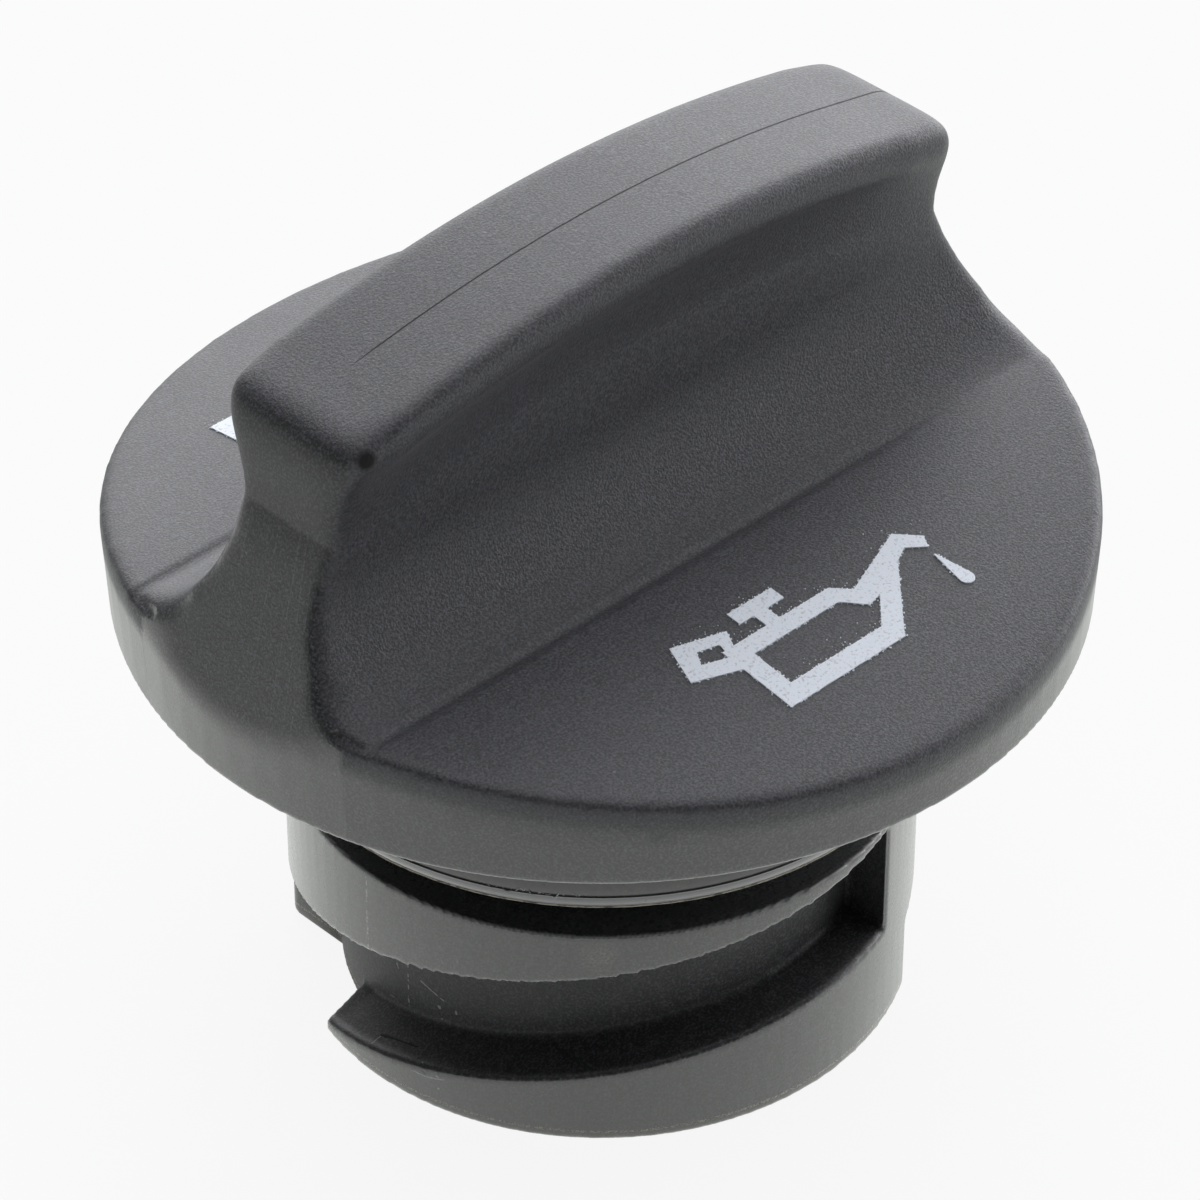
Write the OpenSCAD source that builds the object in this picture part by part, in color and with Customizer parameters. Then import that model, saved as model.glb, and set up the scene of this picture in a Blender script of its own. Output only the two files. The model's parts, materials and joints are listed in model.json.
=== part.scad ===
// Oil filler cap of a car engine: one moulded body of disc, grip and
// two-start bayonet plug, a rubber sealing ring and two printed marks.
// The origin is the centre of the plug's lower end, +Z is the turning
// axis pointing out of the engine and X runs along the grip.

/* [Disc] */
// Radius of the disc's wall at its lower edge
disc_r = 32; // [31:0.1:33]
// Extra radius of the wall at its upper edge, the mould draft
disc_draft = 0.4; // [0:0.1:0.8]
// Height of the skirt's lower edge above the plug's end
skirt_z = 31.3; // [30:0.1:32]
// Height of the crown along the middle of the disc
crown_z = 39.6; // [39.2:0.1:40]
// Radius of the crown, which falls away on both sides of the grip
crown_r = 155; // [140:1:220]
// Thickness of the skirt's wall
skirt_wall = 2.6; // [2:0.1:3.2]
// Height of the disc's flat underside
plate_z = 34.3; // [33.5:0.1:34.8]

/* [Grip] */
// Height of the grip's top at its middle
grip_z = 59.5; // [57:0.1:61]
// Radius of the grip's arched top
arch_r = 108; // [90:1:130]
// Half width of the rounded lip along the grip's top
lip_y = 6.2; // [5.8:0.1:6.8]
// Height of the lip under the arched top
lip_h = 2.5; // [2:0.1:3.5]
// Corner radius of the lip's upper edge
lip_corner_r = 1.1; // [0.6:0.1:1.2]
// Corner radius of the lip's ends, seen from above
lip_end_r = 1.8; // [1:0.1:2.2]
// Half width of the grip at its narrowest
waist_y = 4.35; // [3.8:0.05:5]
// Height of the narrowest place
waist_z = 46.9; // [46.7:0.1:47.3]
// Depth below the arched top at which the hollow under the lip starts
undercut_depth = 8.5; // [7.5:0.1:8.6]
// Radius of the hollow under the lip
undercut_r = 12.5; // [12:0.5:20]
// Radius of the hollow below the waist, down to the disc
scoop_r = 7.8; // [7.6:0.1:7.9]
// Half length of the grip at its upright end faces
end_x = 25.9; // [24.5:0.1:26.5]
// Height at which the end faces begin to flare outwards
end_z = 52.3; // [50:0.1:52.8]
// Radius of the hollow in each end face
end_scoop_r = 10; // [9:0.1:12]
// Slope of the flared foot, from upright
end_slope = 24.5; // [23:0.5:27]
// Radius of the corner between arched top and end face
end_corner_r = 1.5; // [0.8:0.1:1.8]

/* [Plug] */
// Radius of the plug's outer wall
plug_r = 21.2; // [20.6:0.05:21.4]
// Height of the collar's top
collar_z = 17.7; // [17.5:0.1:18.2]
// Thickness of the core's wall behind the bayonet channels
core_wall = 2.6; // [2.4:0.1:3.2]
// Height of the bore's closed end
bore_z = 35.9; // [35:0.1:36.2]
// Rounding of the plug's lower edge
foot_r = 0.3; // [0.2:0.1:0.6]

/* [Bayonet channels] */
// Depth of the channels in the plug's wall
channel_depth = 3.4; // [3:0.1:3.8]
// Distance of a ramp's tip from the plane of the parting line
tip_y = 5.3; // [4.5:0.1:6]
// Distance of a stop's face from the turning axis
stop_x = 6.6; // [5:0.1:7]
// Distance of the narrow stop's far face, beside a channel's mouth
mouth_x = 10.7; // [10:0.1:12]
// Distance of the wide stop's far face, so the cap fits only one way round
wide_mouth_x = 13.9; // [13:0.1:14.5]
// Height of the ramp at its tip
ramp_z0 = 2.6; // [2.3:0.1:3]
// Height of the ramp at the stop
ramp_z1 = 8.6; // [8:0.1:9]
// Height of the collar's lower edge over the narrow stop's far face
roof_z0 = 5.6; // [5:0.1:6]
// Height of the collar's lower edge at the stop
roof_z1 = 17.2; // [16:0.1:17.2]
// Fall of the ramp from the core to its outer edge, at its tip
ramp_fall = 1.5; // [1:0.1:1.6]
// Rounding of the ramp's outer edge
ramp_edge_r = 0.5; // [0.3:0.1:0.6]

/* [Sealing ring] */
// Height of the ring's lower face
seal_z = 21; // [20.6:0.1:21.3]
// Height of the ring
seal_h = 4; // [3.6:0.1:4.4]
// Width of the ring from its bore to its outer face
seal_w = 5.1; // [4.8:0.1:5.4]
// How far the ring stands out from the hub that it bears on
seal_proud = 0.9; // [0.5:0.1:1.3]
// Rounding of the ring's edges
seal_edge_r = 1.1; // [0.8:0.1:1.4]
// Interference of the ring on the neck
seal_grip = 0; // [0:0.01:0.02]

/* [Grip core-out] */
// Length of the slot that hollows the grip from below
slot_x = 25; // [20:0.5:30]
// Width of the slot
slot_y = 4.4; // [3:0.1:5]
// Depth of the grip's solid top over the slot
slot_cover = 7.5; // [6:0.1:10]

/* [Printed marks] */
// Thickness of the printed film
print_t = 0.08; // [0.05:0.01:0.12]
// Length of the oil can from its handle to its spout
can_w = 21.1; // [18:0.1:22]
// Distance of the can's lower side from the disc's edge
can_margin = 7.6; // [6:0.1:9]
// Width of the oil can's strokes
stroke = 1.15; // [1:0.05:1.4]
// Radius of the drop's round end
drop_r = 0.55; // [0.4:0.05:0.7]
// Length of the arrow's two straight sides
arrow_side = 5; // [4:0.1:6]
// Distance of the arrow's corner from the middle of the grip, along it
arrow_x = 14.2; // [12:0.1:16]
// Distance of the arrow's long side from the disc's edge
arrow_margin = 10; // [8:0.1:12]

/* [Hidden] */
$fn = 96;
big = 80;
// Outlines of the oil can as drawn, with its lower side on Y = 0: body, filler
// opening's knob and handle loop, each with the hole in it
can_body = [
  [-7.5, 0], [2.6, 0], [7.2, 5], [8.4, 5.6], [9.7, 4.7], [10.2, 5.6],
  [8.7, 7], [3.1, 4.9], [1.9, 6], [-7.5, 6]
];
can_inside = [[-6, 1.5], [2.05, 1.5], [4.1, 3.6], [2.9, 3.3], [1.5, 4.7], [-6, 4.7]];
can_knob = [[-3, 5.9], [-3, 7.8], [-4.8, 7.7], [-0.9, 7.7]];
can_handle = [[-10.9, 5.3], [-7.4, 4.1], [-5.9, 7.2], [-9.8, 8.3]];
can_loop = [[-9.3, 6], [-7.4, 5.4], [-7.1, 6.6], [-8.7, 7]];
can_drop = [[9.6, 1.3], [9.45, 4], [9.55, 4]];
// Factor that brings the drawn can to its wanted length
can_scale = can_w / (can_body[5][0] - can_handle[0][0]);
channel_steps = 36;
mouth_steps = 12;
arch_zc = grip_z - arch_r;
crown_zc = crown_z - crown_r;
seal_top = seal_z + seal_h;
core_r = plug_r - channel_depth;
bore_r = core_r - core_wall;
seal_r = core_r + seal_w;
hub_r = seal_r - seal_proud;
cut_low = skirt_z - 1;
// Angles on the plug's wall: the ramp's tip, the stop's face and the mouth's near side
tip_angle = 180 - asin(tip_y / plug_r);
stop_angle = 360 - acos(stop_x / plug_r);
mouth_angle = 180 - acos(mouth_x / plug_r);
// How far the band's hollow reaches into the wall, so that they cross cleanly
blend = 0.05;
// Place where the flared foot of an end face meets its hollow
foot_x = end_x + end_scoop_r * (1 - cos(end_slope));
foot_z = end_z - end_scoop_r * sin(end_slope);
// Centre of the round corner between end face and arched top
corner_x = end_x - end_corner_r;
corner_z = arch_zc + sqrt(pow(arch_r - end_corner_r, 2) - pow(corner_x, 2));
corner_tilt = asin(corner_x / (arch_r - end_corner_r));

// Height of a ramp at an angle round the plug: steep at its tip, level at the stop
function ramp_z(a) =
  let (t = (a - tip_angle) / (stop_angle - tip_angle))
  ramp_z0 + (ramp_z1 - ramp_z0) * sin(90 * max(0, min(1, t)));

// Height of the collar's lower edge at an angle round the plug
function roof_z(a) =
  let (t = (a - mouth_angle) / (stop_angle - mouth_angle))
  roof_z0 + (roof_z1 - roof_z0) * (1.45 * t - 0.45 * t * t);

// Flat outline, in X and Z, of everything that lies between the two end scoops
module end_outline() {
  foot_low_x = foot_x + (foot_z - cut_low) * tan(end_slope);
  difference() {
    union() {
      polygon([
        [-foot_low_x, cut_low], [foot_low_x, cut_low],
        [foot_x, foot_z], [-foot_x, foot_z]
      ]);
      translate([-foot_x, foot_z - 0.01]) square([2 * foot_x, grip_z - foot_z + 1]);
    }
    for (side = [-1, 1]) {
      translate([side * (end_x + end_scoop_r), end_z]) circle(end_scoop_r);
      translate([side > 0 ? end_x : -end_x - 9, end_z]) square([9, 12]);
      mirror([side < 0 ? 1 : 0, 0]) translate([corner_x, corner_z]) difference() {
        polygon([[0, 0], [4 * sin(corner_tilt), 4 * cos(corner_tilt)], [4, 4], [4, 0]]);
        circle(end_corner_r);
      }
    }
  }
}

// Flat outline, in Y and Z, of the grip's foot and of the wall that stands on it
module foot_outline() {
  foot_y = waist_y + scoop_r;
  difference() {
    translate([-foot_y, plate_z]) square([2 * foot_y, waist_z - plate_z]);
    for (side = [-1, 1]) translate([side * foot_y, waist_z]) circle(scoop_r);
  }
  translate([-waist_y, waist_z - 1]) square([2 * waist_y, grip_z - waist_z + 1]);
}

// Disc with a crown that is level along X and falls away along Y
module disc() {
  intersection() {
    translate([0, 0, skirt_z])
      cylinder(h = crown_z - skirt_z, r1 = disc_r, r2 = disc_r + disc_draft);
    translate([0, 0, crown_zc]) rotate([0, 90, 0])
      cylinder(h = big, r = crown_r, center = true, $fn = 720);
  }
}

// Arched band along the grip's top, swept about the arch's centre: the lip and
// below it the hollow that runs down into the wall
module lip() {
  start = arch_r - undercut_depth;
  translate([0, 0, arch_zc]) rotate([90, 0, 0]) rotate_extrude($fn = 720)
    difference() {
      translate([start, -lip_y]) square([undercut_depth, 2 * lip_y]);
      for (side = [0, 1])
        mirror([0, side]) {
          intersection() {
            translate([start, waist_y - blend]) circle_above(undercut_r);
            translate([start - 1, 0]) square([undercut_depth - lip_h + 1, 2 * lip_y]);
          }
          translate([arch_r - lip_corner_r, lip_y - lip_corner_r]) difference() {
            square(2 * lip_corner_r);
            circle(lip_corner_r);
          }
        }
    }
}

// Circle that rests on the point where it is put
module circle_above(r) translate([0, r]) circle(r);

// Grip's foot and wall below the arch
module waist() {
  intersection() {
    rotate([90, 0, 90]) linear_extrude(big, center = true) foot_outline();
    translate([0, 0, arch_zc]) rotate([90, 0, 0])
      cylinder(h = big, r = arch_r - lip_h / 2, center = true, $fn = 720);
    translate([0, 0, plate_z]) cylinder(h = big, r = disc_r);
  }
}

// Grip with its upper corners rounded as seen from above
module grip() {
  intersection() {
    union() {
      waist();
      lip();
    }
    union() {
      translate([-big / 2, -big / 2, plate_z]) cube([big, big, end_z - plate_z]);
      translate([0, 0, end_z]) linear_extrude(grip_z) {
        square([2 * end_x, 2 * (lip_y - lip_end_r)], center = true);
        square([2 * (end_x - lip_end_r), 2 * lip_y + 1], center = true);
        for (x = [-1, 1], y = [-1, 1])
          translate([x * (end_x - lip_end_r), y * (lip_y - lip_end_r)]) circle(lip_end_r);
      }
    }
  }
}

// Disc and grip, trimmed to the end scoops that run out through the rim
module top() {
  intersection() {
    union() {
      disc();
      grip();
    }
    rotate([90, 0, 0]) linear_extrude(big, center = true) end_outline();
  }
}

// Fall of a ramp towards its outer edge: full at its tip, none at the stop
function fall(a) = ramp_fall * max(0, 1 - (a - tip_angle) / (stop_angle - tip_angle));

// Section of the empty space over a ramp, as radius and height, at one angle
function channel_section(a) =
  let (r = ramp_edge_r, z = ramp_z(a) - fall(a))
  concat(
    [[plug_r + 1, roof_z(a)], [core_r - 0.6, roof_z(a)], [core_r - 0.6, ramp_z(a)]],
    [for (t = [0 : 30 : 60]) [plug_r - r + r * sin(t), z - r + r * cos(t)]],
    [[plug_r + 1, z - 4 * r]]
  );

// Section of the empty space of a mouth, which is open below
function mouth_section(a) = [
  [plug_r + 1, roof_z(a)], [core_r - 0.6, roof_z(a)], [core_r - 0.6, -1], [plug_r + 1, -1]
];

// Ring of points: one section stood up at an angle round the plug
function stood_up(section, a) = [for (p = section) [p[0] * cos(a), p[0] * sin(a), p[1]]];

// Solid swept through sections that all have m points
module sweep(sections, m) {
  n = len(sections) - 1;
  sides = [
    for (i = [0 : n - 1], j = [0 : m - 1])
      [i * m + j, i * m + (j + 1) % m, (i + 1) * m + (j + 1) % m, (i + 1) * m + j]
  ];
  first_cap = [for (j = [m - 1 : -1 : 0]) j];
  last_cap = [for (j = [0 : m - 1]) n * m + j];
  polyhedron([for (s = sections) each s], concat(sides, [first_cap, last_cap]), convexity = 6);
}

// Empty space of one channel, from inside its mouth to past the stop's face
module channel() {
  first = tip_angle - 6;
  last = stop_angle + 9;
  angles = [for (i = [0 : channel_steps]) first + (last - first) * i / channel_steps];
  sweep([for (a = angles) stood_up(channel_section(min(a, stop_angle)), a)], 7);
}

// Empty space of one mouth, from past the neighbouring stop to past the ramp's tip
module mouth() {
  first = mouth_angle - 14;
  last = tip_angle + 10;
  angles = [for (i = [0 : mouth_steps]) first + (last - first) * i / mouth_steps];
  sweep([for (a = angles) stood_up(mouth_section(max(a, mouth_angle)), a)], 4);
}

// Bayonet plug: ramps, stops and collar round the core
module plug() {
  difference() {
    rotate_extrude() difference() {
      square([plug_r, collar_z]);
      translate([plug_r - foot_r, foot_r]) mirror([0, 1]) difference() {
        square(2 * foot_r);
        circle(foot_r);
      }
    }
    for (start = [[0, wide_mouth_x], [180, mouth_x]])
      rotate([0, 0, start[0]]) {
        difference() {
          channel();
          translate([stop_x, -big / 2, -1]) cube([big, big / 2, big]);
        }
        difference() {
          mouth();
          translate([-start[1], 0, -2]) cube([big, big, big]);
          translate([-big, tip_y - big, -2]) cube([big, big, big]);
        }
      }
  }
  cylinder(h = seal_top, r = core_r);
}

// One moulding: disc, grip, hub and bayonet plug, hollow from below
module cap_body() color([0.075, 0.076, 0.08]) difference() {
  union() {
    top();
    plug();
    translate([0, 0, seal_top]) cylinder(h = plate_z - seal_top + 0.5, r = hub_r);
  }
  difference() {
    translate([0, 0, cut_low]) cylinder(h = plate_z - cut_low, r = disc_r - skirt_wall);
    cylinder(h = big, r = hub_r);
  }
  translate([0, 0, -1]) cylinder(h = bore_z + 1, r = bore_r);
  translate([-slot_x / 2, -slot_y / 2, bore_z - 1])
    cube([slot_x, slot_y, grip_z - slot_cover - bore_z + 1]);
}

// Rubber ring on the neck under the hub, with its parting line at mid height
module seal_ring() color([0.03, 0.03, 0.032]) translate([0, 0, seal_z]) rotate_extrude()
  difference() {
    translate([core_r - seal_grip, 0]) square([seal_r - core_r + seal_grip, seal_h]);
    for (z = [seal_edge_r, seal_h - seal_edge_r])
      translate([seal_r - seal_edge_r, z]) mirror([0, z < seal_h / 2 ? 1 : 0]) difference() {
        square(2 * seal_edge_r);
        circle(seal_edge_r);
      }
  }

// Film of print that lies on the crown wherever its flat outline is
module film() intersection() {
  translate([0, 0, plate_z]) linear_extrude(10) children();
  translate([0, 0, crown_zc]) rotate([0, 90, 0]) difference() {
    cylinder(h = 2 * disc_r, r = crown_r + print_t, center = true, $fn = 720);
    cylinder(h = 2 * disc_r + 1, r = crown_r, center = true, $fn = 720);
  }
}

// Stroke between two points of the pictogram
module bar(a, b, w) {
  d = b - a;
  translate(a) rotate(atan2(d[1], d[0])) translate([0, -w / 2]) square([norm(d), w]);
}

// Oil can with filler knob, handle loop, spout and a falling drop
module oil_can_mark() color([0.62, 0.7, 0.82]) film()
  translate([0, can_margin - disc_r]) scale(can_scale) {
    difference() {
      polygon(can_body);
      polygon(can_inside);
    }
    bar(can_knob[0], can_knob[1], stroke / can_scale);
    bar(can_knob[2], can_knob[3], stroke / can_scale);
    difference() {
      polygon(can_handle);
      polygon(can_loop);
    }
    drop(drop_r / can_scale);
  }

// Falling drop: a round end under a narrow tail
module drop(r) {
  translate(can_drop[0]) circle(r, $fn = 48);
  polygon([can_drop[0] - [r, 0], can_drop[0] + [r, 0], can_drop[2], can_drop[1]]);
}

// Tip of an arrow on the far side of the grip
module arrow_mark() color([0.62, 0.7, 0.82]) film()
  translate([-arrow_x, disc_r - arrow_margin])
    polygon([[0, 0], [arrow_side, 0], [0, -arrow_side]]);

cap_body();
seal_ring();
oil_can_mark();
arrow_mark();
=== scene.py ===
"""Looks of an oil filler cap: the moulded body, the rubber ring and its torn fin,
the printed marks and a white studio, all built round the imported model.

Lengths are in metres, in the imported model's frame: the origin is the centre of
the plug's lower end, +Z is the turning axis and X runs along the grip.
"""

import json
import math
import random

import bmesh
import bpy
from bpy.props import FloatProperty, FloatVectorProperty, IntProperty, PointerProperty
from bpy.types import Operator, Panel, PropertyGroup
from mathutils import Matrix, Vector
from mathutils.kdtree import KDTree


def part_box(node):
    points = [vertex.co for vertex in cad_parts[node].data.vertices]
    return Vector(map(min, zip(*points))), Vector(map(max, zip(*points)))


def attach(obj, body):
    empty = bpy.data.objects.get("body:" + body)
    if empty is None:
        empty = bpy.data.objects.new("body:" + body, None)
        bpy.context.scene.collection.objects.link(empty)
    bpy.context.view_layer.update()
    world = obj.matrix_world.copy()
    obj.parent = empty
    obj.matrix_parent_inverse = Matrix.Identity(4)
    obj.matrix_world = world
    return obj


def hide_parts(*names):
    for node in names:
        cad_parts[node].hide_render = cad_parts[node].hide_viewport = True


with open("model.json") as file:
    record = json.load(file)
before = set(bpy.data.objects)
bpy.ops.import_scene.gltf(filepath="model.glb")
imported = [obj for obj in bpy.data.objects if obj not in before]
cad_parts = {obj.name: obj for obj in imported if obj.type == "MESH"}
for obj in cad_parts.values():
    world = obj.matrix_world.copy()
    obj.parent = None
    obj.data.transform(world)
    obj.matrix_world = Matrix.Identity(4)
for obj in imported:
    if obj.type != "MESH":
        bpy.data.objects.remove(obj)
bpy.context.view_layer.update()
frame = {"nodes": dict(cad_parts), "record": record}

bl_info = {
    "name": "Oil filler cap",
    "version": (1, 0, 0),
    "blender": (4, 5, 0),
    "location": "View3D > Sidebar > Filler cap",
    "description": "Builds the looks of a moulded oil filler cap round its packed model",
    "category": "Object",
}

MM = 0.001

# The photograph's frame in pixels, and the camera's sensor in mm
FRAME_WIDTH = 1200
SENSOR = 36

BODY_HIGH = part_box("cap_body")[1]
SEAL_LOW, SEAL_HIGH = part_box("seal_ring")
COLLAR = next(mount for mount in frame["record"]["mounts"] if mount["name"] == "collar")

# The grip's ends, in mm. They lie beyond END_FROM along the grip and within END_HALF across it.
# Their lips lie round the height END_TURN, reach END_REACH up and down, and are pushed out by
# END_SWELL before they are rounded. Under a lip the finish dulls and is painted darker as shade,
# from END_SHADE_LOW upwards.
END_FROM = 22
END_HALF = 12
END_TURN = 53.3
END_REACH = 4.5
END_SWELL = 1.0
END_SHADE_LOW = 46.5
END_SHADE_RISE = 2.5

# The lips along the grip's scoops, in mm: a band LIP_HALF to each side of the depth LIP_DEPTH
# below the arched top, fading over LIP_FADE, above LIP_LOW and beyond LIP_INNER across the grip
LIP_DEPTH = 1.2
LIP_HALF = 1.0
LIP_FADE = 1.2
LIP_LOW = 48
LIP_INNER = 3.5

# Edges of disc and grip are rounded within this reach in mm. An edge or a crease counts from
# these angles in degrees.
ROUND_REACH = 2.2
EDGE_ANGLE = 24
CREASE_ANGLE = 6

# Foot of the ridge at a grip's end, as a place in mm, and how far round it the surface is smoothed
RIDGE_FOOT = (30.4, 8.4, 39.9)
RIDGE_REACH = 3.4

# The line at the foot of the grip's scoops: between which heights it lies, its depth and half its
# width in mm, and where along the grip it starts and ends its fade
FOOT_LOW = 36.5
FOOT_HIGH = 42.5
FOOT_DEPTH = 0.16
FOOT_HALF = 0.55
FOOT_FADE = (10, 22)

# The sealing ring's section, in mm, and where its fin was torn, in degrees round the axis
SEAL_INNER = 17.8
SEAL_BELOW = 1.25
SEAL_ABOVE = 1.1
SEAL_FIN = 0.05
SEAL_FIN_HEIGHT = 1.45
SECTION_STEPS = 12
RING_STEPS = 180
CRUMB_STEPS = 240
TORN_STEPS = 46
TORN_ARC = (206, 226)

# Soft glows of the room: direction round the axis and height in degrees, strength
GLOWS = [
    (0, 5, 4.6),
    (30, 5, 3.6),
    (60, 5, 2.2),
    (330, 5, 2.0),
    (60, 40, 2.8),
    (0, 88, 2.0),
]
GLOW_SHARPNESS = 12
FLOOR_GLOW = (0.975, 1.0, 0.965)

# The floor lies this far in mm under the plug, so that the two faces don't flicker
FLOOR_DROP = 0.02

# How smooth the finish is, from grained at 0 to plain at 1. On the skirt it sets in RIM_DROP mm
# below the crown and is full after RIM_FADE mm.
PLUG_ZONE = 1.0
END_ZONE = 0.9
SKIRT_ZONE = 0.79
RIM_DROP = 1.0
RIM_FADE = 1.6


class CapSizes(PropertyGroup):
    """Sizes that the looks need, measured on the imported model."""

    skirt_height: FloatProperty(
        name="Skirt height", description="Height of the skirt's lower edge",
        default=31.3 * MM, unit="LENGTH", precision=5)
    crown_height: FloatProperty(
        name="Crown height", description="Height of the crown in the middle",
        default=39.6 * MM, unit="LENGTH", precision=5)
    crown_radius: FloatProperty(
        name="Crown radius", description="Radius of the crown across the grip",
        default=155.0 * MM, unit="LENGTH", precision=5)
    arch_radius: FloatProperty(
        name="Arch radius", description="Radius of the grip's arched top",
        default=108.0 * MM, unit="LENGTH", precision=5)
    plug_radius: FloatProperty(
        name="Plug radius", description="Radius of the plug's wall",
        default=COLLAR["dims"]["r_mm"] * MM, unit="LENGTH", precision=5)
    collar_height: FloatProperty(
        name="Collar height", description="Height of the collar's top",
        default=COLLAR["pos_m"][2], unit="LENGTH", precision=5)
    voxel: FloatProperty(
        name="Voxel", description="Grain of the body's mesh before it is thinned",
        default=0.22 * MM, unit="LENGTH", precision=6)
    soft_passes: IntProperty(
        name="Edge softness", description="Smoothing passes over every edge", default=2)
    round_passes: IntProperty(
        name="Roundness", description="Smoothing passes over the edges of disc and grip",
        default=60)
    lip_passes: IntProperty(
        name="Lip roundness", description="Smoothing passes over the grip's lip", default=26)
    turn_passes: IntProperty(
        name="End softness", description="Smoothing passes where the grip's ends turn", default=190)
    edge_flecks: FloatProperty(
        name="Edge flecks", description="Flecks for each mm of a printed edge", default=5.0)
    mist_flecks: FloatProperty(
        name="Mist flecks", description="Flecks of mist for each mm of the edges towards the grip",
        default=4.0)
    body_triangles: IntProperty(
        name="Body triangles", description="Triangles of the finished body", default=186000)


class CapColours(PropertyGroup):
    """Colours of the cap's finishes, in linear values."""

    grained: FloatVectorProperty(
        name="Grained plastic", description="Spark-eroded top of disc and grip",
        subtype="COLOR", default=(0.040, 0.0405, 0.0465), min=0, max=1)
    smooth: FloatVectorProperty(
        name="Smooth plastic", description="Rim, end faces and plug",
        subtype="COLOR", default=(0.0125, 0.0145, 0.0122), min=0, max=1)
    bloom: FloatVectorProperty(
        name="Bloom", description="Dusty tan film in corners of the plug",
        subtype="COLOR", default=(0.17, 0.16, 0.13), min=0, max=1)
    # Also the colour of the painted highlight along edges
    scuff: FloatVectorProperty(
        name="Scuff", description="Whitened plastic where it was scratched or torn",
        subtype="COLOR", default=(0.55, 0.56, 0.55), min=0, max=1)
    rubber: FloatVectorProperty(
        name="Rubber", description="Sealing ring",
        subtype="COLOR", default=(0.05, 0.05, 0.051), min=0, max=1)
    print_white: FloatVectorProperty(
        name="Print", description="Bluish white of the printed marks",
        subtype="COLOR", default=(0.87, 0.92, 1.0), min=0, max=1)
    grain_size: FloatProperty(
        name="Grain size", description="Size of the spark-eroded grain in mm", default=0.17)


class StageSettings(PropertyGroup):
    """Camera and room light."""

    azimuth: FloatProperty(
        name="Azimuth", description="Camera's direction round the turning axis",
        default=math.radians(-44.13), subtype="ANGLE")
    elevation: FloatProperty(
        name="Elevation", description="Camera's height angle",
        default=math.radians(37.82), subtype="ANGLE")
    distance: FloatProperty(
        name="Distance", description="From the camera to its target",
        default=360.4 * MM, unit="LENGTH", precision=5)
    target_height: FloatProperty(
        name="Target height", description="Height of the camera's target on the axis",
        default=27.54 * MM, unit="LENGTH", precision=5)
    lens: FloatProperty(
        name="Lens", description="Focal length on a 36 mm sensor", default=165.0)
    aim_right: FloatProperty(
        name="Aim right", description="Camera's shift in pixels of a 1200 pixel frame", default=-1.5)
    aim_up: FloatProperty(
        name="Aim up", description="Camera's shift in pixels of a 1200 pixel frame", default=10.74)
    room_level: FloatProperty(
        name="Room level", description="Strength of all the room's glows together", default=1.0)
    fill: FloatProperty(
        name="Fill", description="Even light from every side", default=0.08)
    room_tint: FloatVectorProperty(
        name="Room tint", description="Colour of the room's light",
        subtype="COLOR", default=(0.975, 0.98, 1.0), min=0, max=1)


# Helpers


def clamped(value):
    return min(1.0, max(0.0, value))


def sizes():
    return bpy.context.scene.cap_sizes


def colours():
    return bpy.context.scene.cap_colours


def deselect_all():
    if bpy.context.object and bpy.context.object.mode != "OBJECT":
        bpy.ops.object.mode_set(mode="OBJECT")
    bpy.ops.object.select_all(action="DESELECT")


def make_active(piece):
    deselect_all()
    piece.select_set(True)
    bpy.context.view_layer.objects.active = piece


def apply_modifier(piece, kind, **settings):
    make_active(piece)
    modifier = piece.modifiers.new(kind.lower(), kind)
    for key, value in settings.items():
        setattr(modifier, key, value)
    bpy.ops.object.modifier_apply(modifier=modifier.name)


def merged_copy(node_name, name):
    """A new piece with the node's shape, its loose triangles joined."""
    source = frame["nodes"][node_name]
    piece = bpy.data.objects.new(name, source.data.copy())
    bpy.context.scene.collection.objects.link(piece)
    piece.data.name = name
    make_active(piece)
    bpy.ops.object.mode_set(mode="EDIT")
    bpy.ops.mesh.select_all(action="SELECT")
    bpy.ops.mesh.remove_doubles(threshold=2e-6)
    bpy.ops.object.mode_set(mode="OBJECT")
    return piece


def weigh(piece, name, weight_at):
    """A vertex group whose weight at each vertex comes from a function of its place in mm."""
    group = piece.vertex_groups.new(name=name)
    for vertex in piece.data.vertices:
        weight = weight_at(vertex.co / MM)
        if weight > 0.01:
            group.add([vertex.index], weight, "REPLACE")
    return group.name


def bump_weight(distance, width):
    """1 at no distance, fading to 0 at the given width."""
    return max(0.0, 1.0 - (distance / width) ** 2)


def finish_piece(piece, material):
    piece.data.materials.clear()
    piece.data.materials.append(material)
    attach(piece, "root")


def ring_points(radius, height, first, last, count, noise, wobble, rise=0.0):
    """Places in mm along an arc round the axis, each a little off its true place."""
    places = []
    for step in range(count + 1):
        turn = math.radians(first + (last - first) * step / count)
        r = radius + noise.uniform(-wobble, wobble)
        places.append((r * math.cos(turn), r * math.sin(turn), height + noise.uniform(-rise, rise)))
    return places


def thread(name, points, radius, material, cyclic=False, taper=None):
    """A thin bead along points in mm, made as a curve and turned into a mesh."""
    deselect_all()
    bpy.ops.curve.primitive_nurbs_path_add(location=(0, 0, 0))
    piece = bpy.context.object
    piece.name = name
    curve = piece.data
    curve.splines.clear()
    curve.dimensions = "3D"
    spline = curve.splines.new("POLY")
    spline.points.add(len(points) - 1)
    for index, (point, place) in enumerate(zip(spline.points, points)):
        point.co = (*(Vector(place) * MM), 1.0)
        point.radius = taper(index / max(1, len(points) - 1)) if taper else 1.0
    spline.use_cyclic_u = cyclic
    curve.bevel_depth = radius * MM
    curve.bevel_resolution = 1
    curve.use_fill_caps = True
    make_active(piece)
    bpy.ops.object.convert(target="MESH")
    piece = bpy.context.object
    piece.data.name = name
    bpy.ops.object.shade_smooth()
    finish_piece(piece, material)
    return piece


# Shader groups


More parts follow.
